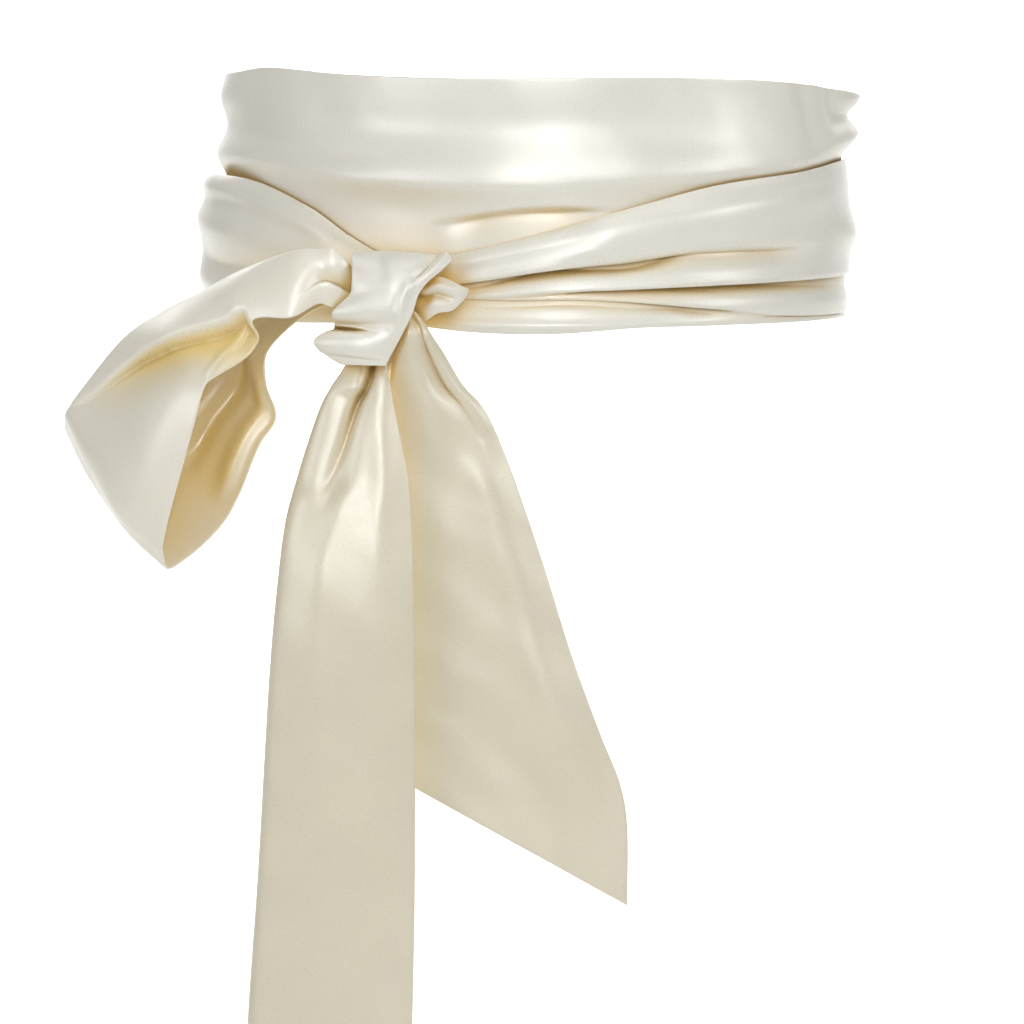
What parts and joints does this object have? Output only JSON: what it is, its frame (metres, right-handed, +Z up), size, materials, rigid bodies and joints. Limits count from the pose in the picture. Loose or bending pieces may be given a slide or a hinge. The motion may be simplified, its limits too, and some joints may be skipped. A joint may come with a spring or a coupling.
{
  "type": "satin sash",
  "caption": "Ivory satin sash in its worn form: two wraps round the waist, tied in a half bow with one loop, a long tail and a short tail.",
  "frame": {"origin": "centre of the waist at the middle of the band's height, where the wearer's waist holds the sash", "axes": "+Z up along the wearer, -Y towards the front of the wearer, +X towards the wearer's left; the knot is at -X, -Y"},
  "size_m": [0.3358, 0.2397, 0.5299],
  "materials": {
    "front_satin": "satin",
    "back_satin": "satin",
    "under_satin": "satin",
    "left_satin": "satin",
    "right_satin": "satin",
    "core_satin": "satin",
    "knot_satin": "satin",
    "neck_satin": "satin",
    "loop_satin": "satin",
    "long_tail_satin": "satin",
    "short_tail_satin": "satin"
  },
  "bodies": {
    "root": {"front_wrap": "front_satin", "back_cross_over": "back_satin", "back_cross_under": "under_satin", "left_wrap": "left_satin", "right_wrap": "right_satin", "knot_core": "core_satin", "knot_wrap": "knot_satin", "knot_neck": "neck_satin", "bow_loop": "loop_satin", "long_tail": "long_tail_satin", "short_tail": "short_tail_satin"}
  },
  "joints": []
}
